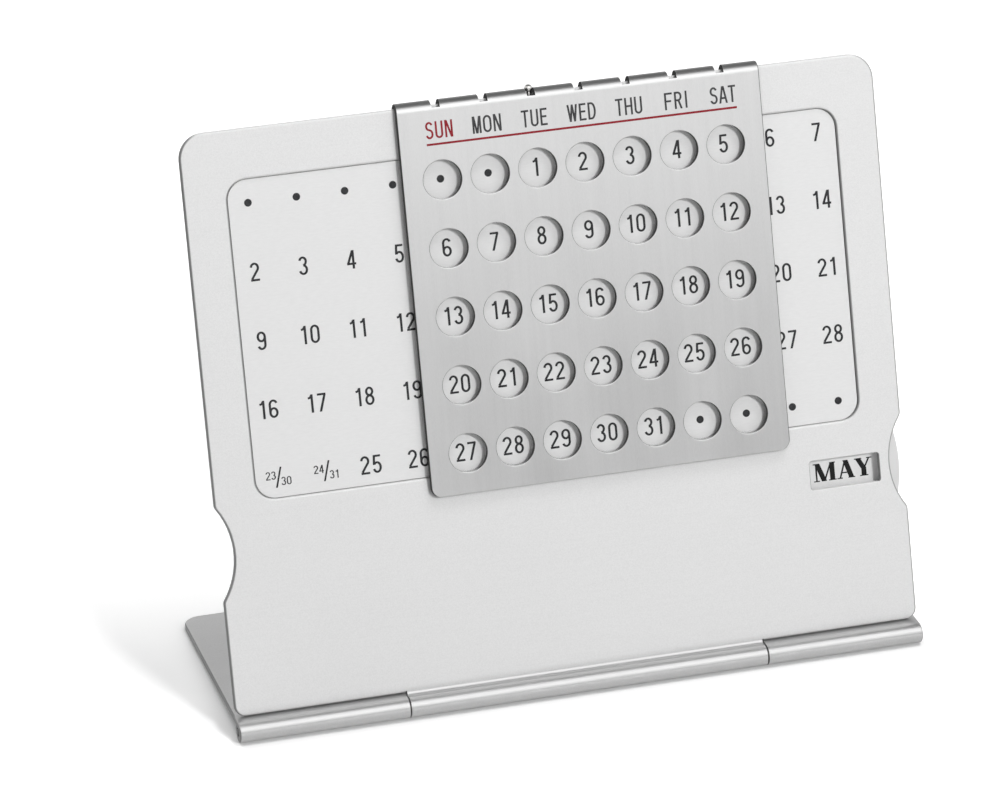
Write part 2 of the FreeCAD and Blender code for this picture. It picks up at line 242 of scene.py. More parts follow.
def place_on_panel(tree, stretch):
    """The place on a piece, turned into the panel's directions and stretched along each."""
    where = add(tree, "ShaderNodeTexCoord")
    turned = add(tree, "ShaderNodeMapping", inputs={"Rotation": (lean, 0, 0)})
    stretched = add(tree, "ShaderNodeMapping", inputs={"Scale": stretch})
    tree.links.new(where.outputs["Object"], turned.inputs["Vector"])
    tree.links.new(turned.outputs["Vector"], stretched.inputs["Vector"])
    return stretched.outputs["Vector"]


def grain(tree, stretch, detail=3.0, roughness=0.6):
    """Noise with so many bumps per metre along the sheet's width, depth and height."""
    settings = {"Scale": 1.0, "Detail": detail, "Roughness": roughness}
    noise = add(tree, "ShaderNodeTexNoise", inputs=settings)
    tree.links.new(place_on_panel(tree, stretch), noise.inputs["Vector"])
    return noise.outputs["Fac"]


def raise_bumps(tree, shader, height, distance, strength):
    """Small relief, whose distance is its full height in metres."""
    bump = add(tree, "ShaderNodeBump", inputs={"Strength": strength, "Distance": distance})
    tree.links.new(height, bump.inputs["Height"])
    tree.links.new(bump.outputs["Normal"], shader.inputs["Normal"])


print("grain is turned back by the lean of", round(math.degrees(lean), 2), "degrees")

# %% [markdown]
# Wear and painted shade depend on where a spot is. Each mask below is white at one kind of place:
# along edges, out in the open rather than deep in a corner, or on surfaces that face one way.

# %% Masks for wear and painted shade
same_normal = 0.999
edge_normal = 0.93
# Sides get painted shade where their normals point this far left or right.
side_shade_from = 0.15
side_shade_fully = 0.5


def edge_mask(tree, radius):
    """White along edges: where a rounded-off normal parts from the true one."""
    soft = add(tree, "ShaderNodeBevel", samples=4, inputs={"Radius": radius})
    true = add(tree, "ShaderNodeNewGeometry")
    alike = add(tree, "ShaderNodeVectorMath", operation="DOT_PRODUCT")
    tree.links.new(soft.outputs["Normal"], alike.inputs[0])
    tree.links.new(true.outputs["True Normal"], alike.inputs[1])
    return spread(tree, alike.outputs["Value"], same_normal, edge_normal, 0.0, 1.0)


def open_to_the_room(tree, distance, closed_in=0.2, in_the_open=0.9):
    """White in the open, black deep in a corner or under another sheet."""
    around = add(tree, "ShaderNodeAmbientOcclusion", samples=4, inputs={"Distance": distance})
    return spread(tree, around.outputs["AO"], closed_in, in_the_open, 0.0, 1.0)


def facing(tree, axis, low, high):
    """White where a surface faces along an axis or against it, black where it lies along it."""
    where = add(tree, "ShaderNodeTexCoord")
    parts = add(tree, "ShaderNodeSeparateXYZ")
    size = add(tree, "ShaderNodeMath", operation="ABSOLUTE")
    tree.links.new(where.outputs["Normal"], parts.inputs[0])
    tree.links.new(parts.outputs[axis], size.inputs[0])
    return spread(tree, size.outputs[0], low, high, 0.0, 1.0)


def sideways(tree):
    """White on the sides of a sheet that face left or right, where shade is painted."""
    return facing(tree, "X", side_shade_from, side_shade_fully)


print("a side counts as sheared from", side_shade_from, "of its normal along x")

# %% [markdown]
# The panel and the base are blasted with fine beads and then clear anodised. Up close that is a very
# fine, even speckle over a trace of the rolling direction along the sheet's width. The metal is
# slightly brighter where the edges were rounded. Shade is painted into its colour: darker on the sides
# that face left and right, and in corners and under other sheets. The panel scatters most of its
# light, so it is only partly a mirror. The base was tumbled a little smoother. The knuckles are
# smoothest, since the rolling die has burnished them, and painted darker as shade where they face up
# or down: the finish changes with the distance from the hinge.

# %% Satin aluminium
knuckle_metallic = 0.75
knuckle_roughness = 0.32
knuckle_ends = 2.8 * mm
sheet_starts = 4.2 * mm
# The knuckles get painted shade where their normals point this far up or down.
knuckle_shade_from = 0.35
knuckle_shade_fully = 0.75


def near_the_hinge(tree):
    """White on the rolled knuckles, black on the flat sheet."""
    square_to_it = add(tree, "ShaderNodeVectorMath", operation="MULTIPLY", inputs={1: (0, 1, 1)})
    away_from_it = add(tree, "ShaderNodeVectorMath", operation="LENGTH")
    tree.links.new(place_from(tree, hinge), square_to_it.inputs[0])
    tree.links.new(square_to_it.outputs[0], away_from_it.inputs[0])
    return spread(tree, away_from_it.outputs["Value"], knuckle_ends, sheet_starts, 1.0, 0.0)


def make_satin_aluminium(name, flat_metallic, flat_roughness):
    tree, shader, material = new_finish(name, grey(0.74), flat_metallic, flat_roughness)
    specks = grain(tree, (4200, 4200, 4200), 2.0)
    rolled = grain(tree, (60, 900, 2600), 4.0)
    clouds = grain(tree, (28, 28, 28), 2.0, 0.5)
    speckle = mottle(tree, specks, grey(0.7), grey(0.77))
    tone = blend_colours(tree, wander(tree, rolled, 0, 0.35), speckle, grey(0.77))
    worn = blend_colours(tree, edge_mask(tree, 0.25 * mm), tone, grey(0.8))
    # Painted shade: darker in corners and under other sheets.
    painted_corner_shade = blend_colours(tree, open_to_the_room(tree, 1.0 * mm), grey(0.4), worn)
    # Painted shade: darker on the sides that face left and right.
    painted_side_shade = blend_colours(tree, sideways(tree), painted_corner_shade, grey(0.28))
    knuckle = near_the_hinge(tree)
    on_top = facing(tree, "Z", knuckle_shade_from, knuckle_shade_fully)
    # Painted shade: the knuckles darker where they face up or down.
    painted_knuckle_shade = combined(tree, "MULTIPLY", knuckle, on_top)
    knuckle_shaded = blend_colours(tree, painted_knuckle_shade, painted_side_shade, grey(0.56))
    tree.links.new(knuckle_shaded, shader.inputs["Base Color"])
    metallic = spread(tree, knuckle, 0, 1, flat_metallic, knuckle_metallic)
    tree.links.new(metallic, shader.inputs["Metallic"])
    even = spread(tree, knuckle, 0, 1, flat_roughness, knuckle_roughness)
    roughness = combined(tree, "ADD", even, wander(tree, clouds, -0.04, 0.04))
    tree.links.new(roughness, shader.inputs["Roughness"])
    raise_bumps(tree, shader, specks, 0.012 * mm, 0.6)
    return material


dress(make_satin_aluminium("satin_aluminium", 0.25, 0.5), "front_panel")
dress(make_satin_aluminium("tumbled_aluminium", 0.5, 0.4), "base_plate")

# %% [markdown]
# The number plate is thin printed sheet. It is a little whiter and flatter than the panel, with short,
# faint scratches along its width. Shade is painted on it where walls and sheets stand close over it,
# as in the slider's windows.

# %% Number plate
def make_printed_plate():
    tree, shader, material = new_finish("printed_plate", grey(0.74), 0.15, 0.55)
    brushed = grain(tree, (700, 2000, 3000), 4.0)
    tone = mottle(tree, brushed, grey(0.72), grey(0.755))
    # Painted shade: dark where walls and sheets stand close over the plate.
    in_the_open = open_to_the_room(tree, 1.0 * mm, 0.42, 0.75)
    painted_corner_shade = blend_colours(tree, in_the_open, grey(0.12), tone)
    tree.links.new(painted_corner_shade, shader.inputs["Base Color"])
    tree.links.new(wander(tree, brushed, 0.45, 0.56), shader.inputs["Roughness"])
    raise_bumps(tree, shader, brushed, 0.006 * mm, 0.4)
    return material


dress(make_printed_plate(), "number_plate")

# %% [markdown]
# The date slider is brushed from top to bottom. Each scratch is a groove about a tenth of a
# millimetre wide and many long, so its noise is squeezed across and drawn out along. The grooves tilt
# the reflection sideways, which spreads it across the brushing, as on the real sheet. Nearly all of
# its light is reflected, so it darkens where the room in front of it is darker. Shade is painted
# darker over the fold, and darkest on the sides and the window walls that face left and right, which
# are also made dull.

# %% Brushed slider
slider_crest = reach("date_slider", up_the_panel)[1]
bend_starts = 1.5 * mm
bend_is_full = 0.7 * mm


def in_the_fold(tree):
    """White over the rounded fold, black on the flat front."""
    height = add(tree, "ShaderNodeVectorMath", operation="DOT_PRODUCT", inputs={1: up_the_panel})
    tree.links.new(place_from(tree, hinge), height.inputs[0])
    starts = slider_crest - bend_starts
    full = slider_crest - bend_is_full
    return spread(tree, height.outputs["Value"], starts, full, 0.0, 1.0)


def make_brushed_slider():
    tree, shader, material = new_finish("brushed_slider", grey(0.77), 0.9, 0.3)
    fine = grain(tree, (9000, 9000, 130), 3.0, 0.7)
    broad = grain(tree, (900, 900, 40), 4.0, 0.6)
    specks = grain(tree, (4200, 4200, 1400), 2.0)
    clouds = grain(tree, (60, 60, 30), 2.0, 0.5)
    streaks = mottle(tree, broad, grey(0.74), grey(0.78))
    tone = blend_colours(tree, wander(tree, specks, 0, 0.5), streaks, grey(0.82))
    # Painted shade: darker over the fold.
    fold_shaded = blend_colours(tree, in_the_fold(tree), tone, grey(0.36))
    worn = blend_colours(tree, edge_mask(tree, 0.15 * mm), fold_shaded, grey(0.85))
    # Painted shade: sides facing left and right nearly black, not metallic and hardly shiny.
    painted_side_shade = sideways(tree)
    tree.links.new(blend_colours(tree, painted_side_shade, worn, grey(0.05)), shader.inputs["Base Color"])
    tree.links.new(spread(tree, painted_side_shade, 0, 1, 0.9, 0.0), shader.inputs["Metallic"])
    tree.links.new(spread(tree, painted_side_shade, 0, 1, 0.5, 0.1), shader.inputs["Specular IOR Level"])
    tree.links.new(wander(tree, clouds, 0.3, 0.38), shader.inputs["Roughness"])
    raise_bumps(tree, shader, fine, 0.01 * mm, 0.5)
    return material


dress(make_brushed_slider(), "date_slider")

# %% [markdown]
# The small parts behind: the month disc is satin like the panel but whiter, with shade painted at
# its rim and where the panel's edges stand close over it. Pins are ground steel with fine rings,
# springs and the push-on ring are plain spring steel, and the spacer is natural nylon, which lets a
# little light in.

# %% Small parts
disc_middle = Vector(joints["month_turn"]["pos_m"])
disc_reach = reach("month_disc", across)[1] - disc_middle.x
rim_starts = 4.5 * mm
rim_is_full = 2.5 * mm


def near_the_rim(tree):
    """White at the disc's rim, where shade is painted."""
    from_middle = add(tree, "ShaderNodeVectorMath", operation="LENGTH")
    tree.links.new(place_from(tree, disc_middle), from_middle.inputs[0])
    starts = disc_reach - rim_starts
    full = disc_reach - rim_is_full
    return spread(tree, from_middle.outputs["Value"], starts, full, 0.0, 1.0)


def make_disc_face():
    tree, shader, material = new_finish("disc_face", grey(0.82), 0.2, 0.45)
    turned = grain(tree, (1500, 1500, 1500), 3.0)
    tone = mottle(tree, turned, grey(0.8), grey(0.85))
    # Painted shade: darker at the rim.
    rim_shaded = blend_colours(tree, near_the_rim(tree), tone, grey(0.7))
    # Painted shade: darker where the panel's edges stand close over the disc.
    painted_corner_shade = blend_colours(tree, open_to_the_room(tree, 1.5 * mm), grey(0.45), rim_shaded)
    tree.links.new(painted_corner_shade, shader.inputs["Base Color"])
    tree.links.new(wander(tree, turned, 0.4, 0.5), shader.inputs["Roughness"])
    raise_bumps(tree, shader, turned, 0.006 * mm, 0.4)
    return material


def make_steel(name, dark, light, smooth, rough, stretch):
    tree, shader, material = new_finish(name, light, 1.0, rough)
    ground = grain(tree, stretch, 3.0)
    tone = mottle(tree, ground, dark, light)
    tree.links.new(tone, shader.inputs["Base Color"])
    tree.links.new(wander(tree, ground, smooth, rough), shader.inputs["Roughness"])
    raise_bumps(tree, shader, ground, 0.004 * mm, 0.5)
    return material


def make_nylon():
    tree, shader, material = new_finish("nylon", (0.8, 0.78, 0.72), 0.0, 0.5)
    moulded = grain(tree, (700, 700, 700), 3.0)
    tone = mottle(tree, moulded, (0.76, 0.74, 0.68), (0.83, 0.81, 0.76))
    tree.links.new(tone, shader.inputs["Base Color"])
    tree.links.new(wander(tree, moulded, 0.42, 0.58), shader.inputs["Roughness"])
    raise_bumps(tree, shader, moulded, 0.01 * mm, 0.4)
    shader.inputs["Subsurface Weight"].default_value = 0.2
    shader.inputs["Subsurface Scale"].default_value = 0.5 * mm
    return material


dress(make_disc_face(), "month_disc")
ground_steel = make_steel(
    "ground_steel", (0.66, 0.65, 0.63), (0.74, 0.73, 0.71), 0.12, 0.22, (400, 4000, 4000)
)
dress(ground_steel, "hinge_pin", "click_pin", "pivot_stud")
spring_steel = make_steel(
    "spring_steel", (0.4, 0.39, 0.37), (0.52, 0.51, 0.49), 0.25, 0.42, (900, 900, 900)
)
dress(spring_steel, "click_spring", "wave_washer", "push_retainer")
dress(make_nylon(), "spacer_washer")

# %% [markdown]
# The numbers are silk-screened in dark ink. A font file could make them, but the narrow, even-stroked
# figures of such a plate are easy to draw as a pen would: each is one to three strokes of constant
# width. A stroke is a list of places with a left and a right edge, and becomes a thin raised strip of
# ink. Straight strokes are cut level with the line of writing, as in printed letters.

# %% Pen strokes
ink_height = 0.02 * mm
ink_sink = 0.01 * mm
arc_step = 15
same_place = 1e-6


def bar(x0, y0, x1, y1, width):
    """A straight stroke. A steep one has level ends, and a flat one has upright ends."""
    rise, run = abs(y1 - y0), abs(x1 - x0)
    half = width / 2 * math.hypot(rise, run) / max(rise, run)
    if rise >= run:
        return [((x0 - half, y0), (x0 + half, y0)), ((x1 - half, y1), (x1 + half, y1))], False
    return [((x0, y0 + half), (x0, y0 - half)), ((x1, y1 + half), (x1, y1 - half))], False


def bend(cx, cy, rx, ry, start, end):
    """Places along an ellipse, from one angle to another in degrees."""
    steps = max(2, round(abs(end - start) / arc_step))
    angles = [math.radians(start + (end - start) * i / steps) for i in range(steps + 1)]
    return [(cx + rx * math.cos(a), cy + ry * math.sin(a)) for a in angles]


def pen(places, width, level_width=None, closed=False):
    """A curved stroke. Its level parts may have a width of their own, as from a broad nib."""
    if closed and math.dist(places[0], places[-1]) < same_place:
        places = places[:-1]
    count = len(places)
    sections = []
    for i, (x, y) in enumerate(places):
        before = places[i - 1] if i > 0 or closed else places[i]
        after = places[(i + 1) % count] if i < count - 1 or closed else places[i]
        heading = Vector((after[0] - before[0], after[1] - before[1])).normalized()
        wide = width
        if level_width is not None:
            wide = level_width + (width - level_width) * heading.y**2
        side = Vector((-heading.y, heading.x)) * wide / 2
        sections.append(((x + side.x, y + side.y), (x - side.x, y - side.y)))
    return sections, closed


print("a full turn of the pen has", len(pen(bend(0, 0, 1, 1, 0, 360), 0.1, closed=True)[0]), "places")

# %% [markdown]
# Each figure stands on a line and is 1 high. Its entry gives the width that it takes and its strokes.
# The nine is the six turned upside down, so it is made from it.

# %% Figures
pen_width = 0.114
foot = pen_width / 2
head = 1 - foot
left = 0.07
right = 0.41
centre = (left + right) / 2
bowl = (right - left) / 2


def upside_down(strokes):
    """Strokes turned half round about the middle of a figure."""
    turned = []
    for sections, closed in strokes:
        pairs = [tuple((2 * centre - x, 1 - y) for x, y in pair) for pair in sections]
        turned.append((pairs, closed))
    return turned


def in_one(parts):
    """One list of places, from single places and lists of them."""
    joined = []
    for part in parts:
        joined += part if isinstance(part, list) else [part]
    return joined


def plain(*parts, closed=False):
    """A curved stroke of the plain pen."""
    return pen(in_one(parts), pen_width, closed=closed)


def straight(x0, y0, x1, y1):
    """A straight stroke of the plain pen."""
    return bar(x0, y0, x1, y1, pen_width)


six = [
    plain(bend(centre, 0.29, bowl, 0.29 - foot, 0, 360), closed=True),
    plain((left, 0.29), (left, 0.5), bend(centre, 0.72, bowl, head - 0.72, 180, 20)),
]
figures = {
    "0": (0.48, [
        plain(
            bend(centre, 0.72, bowl, head - 0.72, 0, 180),
            bend(centre, 0.28, bowl, 0.28 - foot, 180, 360),
            closed=True,
        ),
    ]),
    "1": (0.40, [
        straight(0.27, 0, 0.27, 1),
        plain((0.08, 0.8), (0.15, 0.81), (0.21, 0.85), (0.255, 0.95)),
    ]),
    "2": (0.48, [
        plain(bend(centre, 0.72, bowl, head - 0.72, 172, -30), (0.085, 0.12)),
        straight(0.025, foot, 0.46, foot),
    ]),
    "3": (0.48, [
        plain(bend(0.235, 0.735, 0.155, head - 0.735, 165, -85)),
        plain(bend(centre, 0.288, bowl, 0.288 - foot, 88, -165)),
    ]),
    "4": (0.48, [
        straight(0.335, 0, 0.335, 1),
        straight(0.07, 0.27, 0.32, 1),
        straight(0.02, 0.27, 0.465, 0.27),
    ]),
    "5": (0.48, [
        straight(0.1, head, 0.43, head),
        straight(0.09, 0.46, 0.125, 1),
        plain(bend(centre, 0.32, bowl, 0.32 - foot, 140, -162)),
    ]),
    "6": (0.48, six),
    "7": (0.46, [straight(0.03, head, 0.45, head), straight(0.15, 0, 0.405, 0.93)]),
    "8": (0.48, [
        plain(bend(centre, 0.745, 0.148, head - 0.745, 0, 360), closed=True),
        plain(bend(centre, 0.29, bowl, 0.29 - foot, 0, 360), closed=True),
    ]),
    "9": (0.48, upside_down(six)),
}
print(len(figures), "figures")

# %% [markdown]
# The weekdays are written with the same pen, and only the letters that they need are drawn. Half of
# them have the same upright at their left, so it has a name.

# %% Plain capitals
upright = straight(left, 0, left, 1)
capitals = {
    "S": (0.48, [
        plain(
            bend(centre, 0.735, 0.16, head - 0.735, 18, 270),
            bend(centre, 0.285, bowl, 0.285 - foot, 90, -162),
        ),
    ]),
    "U": (0.48, [plain((left, 1), bend(centre, 0.24, bowl, 0.24 - foot, 180, 360), (right, 1))]),
    "N": (0.48, [upright, straight(0.41, 0, 0.41, 1), straight(0.09, 1, 0.39, 0)]),
    "M": (0.54, [
        upright,
        straight(0.47, 0, 0.47, 1),
        straight(0.1, 1, 0.26, 0),
        straight(0.44, 1, 0.28, 0),
    ]),
    "O": (0.52, [
        plain(
            bend(0.26, 0.7, 0.19, head - 0.7, 0, 180),
            bend(0.26, 0.3, 0.19, 0.3 - foot, 180, 360),
            closed=True,
        ),
    ]),
    "T": (0.44, [straight(0, head, 0.44, head), straight(0.22, 0, 0.22, 1)]),
    "E": (0.43, [
        upright,
        straight(left, foot, 0.42, foot),
        straight(left, 0.52, 0.38, 0.52),
        straight(left, head, 0.42, head),
    ]),
    "W": (0.6, [
        straight(0.05, 1, 0.175, 0),
        straight(0.3, 1, 0.175, 0),
        straight(0.3, 1, 0.425, 0),
        straight(0.55, 1, 0.425, 0),
    ]),
    "D": (0.5, [
        upright,
        plain((left, head), (0.2, head), bend(0.22, 0.5, 0.2, 0.5 - foot, 90, -90), (left, foot)),
    ]),
    "H": (0.49, [upright, straight(0.42, 0, 0.42, 1), straight(left, 0.51, 0.42, 0.51)]),
    "F": (0.5, [upright, straight(left, 0.5, 0.41, 0.5), straight(left, head, 0.48, head)]),
    "R": (0.54, [
        upright,
        plain(
            (left, head),
            (0.22, head),
            bend(0.24, 0.72, 0.16, head - 0.72, 90, -90),
            (left, 0.5),
        ),
        straight(0.26, 0.48, 0.41, 0),
    ]),
    "I": (0.16, [straight(0.08, 0, 0.08, 1)]),
    "A": (0.46, [
        straight(0.035, 0, 0.21, 1),
        straight(0.425, 0, 0.25, 1),
        straight(0.1, 0.3, 0.36, 0.3),
    ]),
}
print(len(capitals), "plain capitals")

# %% [markdown]
# The month names are in a bold book face instead, with thick stems, hairlines and small feet. A broad
# nib gives the round letters their swelling by itself. The feet are short flat bars. Again many letters
# share a stem at their left, and some have a foot at both of its corners.

# %% Bold capitals with feet
stem = 0.2
hair = 0.065
serif = 0.055
cap = 1 - serif / 2
base_line = serif / 2


def thick(x0, y0, x1, y1):
    """A straight stem."""
    return bar(x0, y0, x1, y1, stem)


def thin(x0, y0, x1, y1):
    """A straight hairline."""
    return bar(x0, y0, x1, y1, hair)


def nib(*parts):
    """A curved stroke that is thick where it goes up or down and thin where it goes across."""
    return pen(in_one(parts), stem, hair)


def feet(*places):
    """Short level bars: each is its middle, its height on the letter and its length."""
    return [bar(x - length / 2, y, x + length / 2, y, serif) for x, y, length in places]


def tip(x, y0, y1):
    """The short upright end of a hairline."""
    return bar(x, y0, x, y1, serif)


left_stem = thick(0.17, 0, 0.17, 1)
stem_corners = feet((0.1, cap, 0.16), (0.1, base_line, 0.16))
book_letters = {
    "J": (0.5, [
        nib((0.33, 1), (0.33, 0.26), bend(0.19, 0.24, 0.14, 0.22, 0, -150)),
    ] + feet((0.33, cap, 0.32))),
    "A": (0.74, [
        thin(0.12, 0, 0.36, 1),
        thick(0.6, 0, 0.37, 1),
        thin(0.18, 0.32, 0.5, 0.32),
    ] + feet((0.12, base_line, 0.22), (0.6, base_line, 0.28))),
    "N": (0.78, [
        thin(0.14, 0, 0.14, 1),
        thick(0.16, 1, 0.6, 0),
        thin(0.64, 0, 0.64, 1),
    ] + feet((0.14, base_line, 0.22), (0.12, cap, 0.2), (0.64, cap, 0.22))),
    "F": (0.62, [
        left_stem,
        bar(0.1, cap, 0.58, cap, serif),
        thin(0.2, 0.52, 0.42, 0.52),
        tip(0.565, 0.74, 1),
        tip(0.42, 0.4, 0.64),
    ] + feet((0.17, base_line, 0.32), (0.12, cap, 0.2))),
    "E": (0.66, [
        left_stem,
        bar(0.1, cap, 0.6, cap, serif),
        bar(0.1, base_line, 0.62, base_line, serif),
        thin(0.2, 0.52, 0.42, 0.52),
        tip(0.585, 0.76, 1),
        tip(0.61, 0, 0.26),
        tip(0.42, 0.4, 0.64),
    ] + stem_corners),
    "B": (0.68, [
        left_stem,
        nib((0.17, cap), bend(0.34, 0.76, 0.17, cap - 0.76, 90, -90), (0.17, 0.545)),
        nib((0.17, 0.53), bend(0.36, 0.275, 0.2, 0.255, 90, -90), (0.17, base_line)),
    ] + stem_corners),
    "M": (0.95, [
        thin(0.13, 0, 0.13, 1),
        thick(0.17, 1, 0.44, 0),
        thin(0.45, 0.02, 0.74, 1),
        thick(0.78, 0, 0.78, 1),
    ] + feet((0.13, base_line, 0.24), (0.1, cap, 0.18), (0.78, base_line, 0.32), (0.8, cap, 0.24))),
    "R": (0.74, [
        left_stem,
        nib((0.17, cap), bend(0.35, 0.75, 0.18, cap - 0.75, 90, -90), (0.17, 0.52)),
        thick(0.34, 0.52, 0.56, 0),
    ] + feet((0.1, cap, 0.16), (0.17, base_line, 0.32), (0.62, base_line, 0.2))),
    "P": (0.64, [
        left_stem,
        nib((0.17, cap), bend(0.35, 0.74, 0.19, cap - 0.74, 90, -90), (0.17, 0.5)),
    ] + feet((0.1, cap, 0.16), (0.17, base_line, 0.32))),
    "Y": (0.74, [
        thick(0.13, 1, 0.35, 0.44),
        thin(0.6, 1, 0.38, 0.44),
        thick(0.36, 0, 0.36, 0.48),
    ] + feet((0.14, cap, 0.3), (0.6, cap, 0.22), (0.36, base_line, 0.34))),
    "U": (0.76, [
        nib((0.17, 1), (0.17, 0.3), bend(0.39, 0.27, 0.22, 0.245, 180, 270)),
        pen(bend(0.39, 0.27, 0.24, 0.245, 270, 360) + [(0.63, 1)], hair),
    ] + feet((0.17, cap, 0.32), (0.63, cap, 0.22))),
    "L": (0.64, [
        left_stem,
        bar(0.1, base_line, 0.6, base_line, serif),
        tip(0.59, 0, 0.28),
    ] + feet((0.17, cap, 0.32), (0.1, base_line, 0.16))),
    "G": (0.8, [
        nib(bend(0.4, 0.5, 0.3, 0.475, 50, 315)),
        thick(0.62, 0.06, 0.62, 0.42),
        tip(0.62, 0.68, 0.98),
    ] + feet((0.62, 0.42, 0.28))),
    "S": (0.58, [
        nib(
            bend(0.3, 0.74, 0.17, cap - 0.74, 25, 200),
            (0.2, 0.58),
            (0.42, 0.42),
            bend(0.3, 0.26, 0.19, 0.26 - base_line, 20, -155),
        ),
        tip(0.48, 0.68, 0.98),
        tip(0.1, 0.02, 0.32),
    ]),
    "C": (0.74, [nib(bend(0.4, 0.5, 0.3, 0.475, 50, 310)), tip(0.62, 0.66, 0.98)]),
    "O": (0.82, [pen(bend(0.41, 0.5, 0.3, 0.475, 0, 360), stem, hair, closed=True)]),
    "T": (0.68, [
        thick(0.34, 0, 0.34, 1),
        bar(0.03, cap, 0.65, cap, serif),
        tip(0.045, 0.74, 1),
        tip(0.635, 0.74, 1),
    ] + feet((0.34, base_line, 0.34))),
    "V": (0.74, [
        thick(0.14, 1, 0.36, 0),
        thin(0.6, 1, 0.38, 0),
    ] + feet((0.14, cap, 0.3), (0.6, cap, 0.22))),
    "D": (0.78, [
        left_stem,
        nib(
            (0.17, cap),
            (0.3, cap),
            bend(0.36, 0.5, 0.27, 0.5 - base_line, 90, -90),
            (0.17, base_line),
        ),
    ] + stem_corners),
}
print(len(book_letters), "bold capitals")

# %% [markdown]
# Every stroke becomes a closed strip of ink. Setting a word is then what a compositor does: add up
# the letters' room, start half of it to the left, and put one letter after another. Strokes of one
# letter cross, so each is raised a hair more than the last: two faces never lie in one plane.

# %% Setting words in ink
stroke_rise = 0.0004 * mm


def add_strip(ink, sections, closed, to_sheet, height):
    """One stroke as a closed strip: top, underside, sides and, unless it closes, two ends."""
    rows = []
    for pair in sections:
        corners = [Vector((x, y, z)) for x, y in pair for z in (-ink_sink, height)]
        rows.append([ink.verts.new(to_sheet @ corner) for corner in corners])
    links = list(zip(rows, rows[1:])) + ([(rows[-1], rows[0])] if closed else [])
    for a, b in links:
        for i, j in ((0, 1), (1, 3), (3, 2), (2, 0)):
            ink.faces.new((a[i], a[j], b[j], b[i]))
    if not closed:
        ink.faces.new((rows[0][0], rows[0][2], rows[0][3], rows[0][1]))
        ink.faces.new((rows[-1][1], rows[-1][3], rows[-1][2], rows[-1][0]))


def set_word(ink, word, letters, place, size, squeeze, gap):
    """Writes a word centred on the origin of place, as high as size."""
    room = sum(letters[c][0] for c in word) + gap * (len(word) - 1)
    x = -room / 2
    count = 0
    scale = Matrix.Diagonal((size * squeeze, size, 1, 1))
    for character in word:
        advance, strokes = letters[character]
        letter = place @ scale @ Matrix.Translation((x, -0.5, 0))
        for sections, closed in strokes:
            add_strip(ink, sections, closed, letter, ink_height + stroke_rise * count)
            count += 1
        x += advance + gap


print("ink stands", ink_height / mm, "mm proud of its sheet")

# %% [markdown]
# All the ink of one colour on one sheet is one piece. It rides on the body that it is printed on, so
# it moves with that body at every joint.

# %% Pieces made in mesh code
def on_sheet(x, y, face):
    """A place in the panel's plane, on a sheet whose face stands that far out."""
    return panel_plane @ Matrix.Translation((x, y, face))


def finish_piece(name, shape, material, body):
    """Turns a shape made in mesh code into a piece that rides on a body."""
    bmesh.ops.recalc_face_normals(shape, faces=shape.faces)
    mesh = bpy.data.meshes.new(name)
    shape.to_mesh(mesh)
    shape.free()
    mesh.materials.append(material)
    piece = bpy.data.objects.new(name, mesh)
    bpy.context.scene.collection.objects.link(piece)
    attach(piece, body)
    print(name, "has", len(mesh.polygons), "faces")
    return piece


# %% [markdown]
# Printing ink is nearly black but not a flat colour: its film is thinner in some places, and there it
# is a touch greyer and duller. The months are blackest, the numbers a little paler and the weekdays
# palest. The red of the Sundays and of the line is made alike.

# %% Inks
film_is_full = 0.35
film_is_thin = 0.75


def make_ink(name, deep, pale):
    tree, shader, material = new_finish(name, deep, 0.0, 0.5)
    shader.inputs["Specular IOR Level"].default_value = 0.25
    film = grain(tree, (1400, 1400, 1400), 3.0)
    tone = blend_colours(tree, spread(tree, film, film_is_full, film_is_thin, 0, 1), deep, pale)
    tree.links.new(tone, shader.inputs["Base Color"])
    tree.links.new(wander(tree, film, 0.42, 0.6), shader.inputs["Roughness"])
    return material


black_ink = make_ink("black_ink", grey(0.006), grey(0.014))
grey_ink = make_ink("grey_ink", (0.02, 0.02, 0.022), (0.045, 0.045, 0.047))
pale_ink = make_ink("pale_ink", (0.035, 0.035, 0.037), (0.075, 0.075, 0.077))
red_ink = make_ink("red_ink", (0.22, 0.012, 0.02), (0.3, 0.03, 0.04))
print("inks:", ", ".join(ink.name for ink in (black_ink, grey_ink, pale_ink, red_ink)))

# %% [markdown]
# The grid has 13 columns and 5 rows. In the first row the 1 stands in the seventh column, and one row
# down is one week later, so one rule gives every number. Places without a day get a dot. The 30 and
# the 31 would need a sixth row, so at the left they share a place with the 23 and the 24, with a slash
# between. The columns' pitch comes from the slider: its travel takes it along by six of them.

# %% Numbers on the plate
columns = 13
rows = 5
days_in_week = 7
places_before_first = 6
last_day = 31
slide_low, slide_high = joints["date_slide"]["range_m"]
column_pitch = (slide_high - slide_low) / (columns - days_in_week)
row_pitch = 13.43 * mm
plate_top = reach("number_plate", up_the_panel)[1]
plate_face = reach("number_plate", outward)[1]
first_row = plate_top - 4.53 * mm
number_size = 3.6 * mm
number_squeeze = 1.12
number_gap = 0.11
dot_radius = 0.75 * mm
dot_sides = 28


def column_x(column):
    return (column - (columns - 1) / 2) * column_pitch


def row_y(row):
    return first_row - row * row_pitch


def day_at(row, column):
    return column + 1 - places_before_first + days_in_week * row


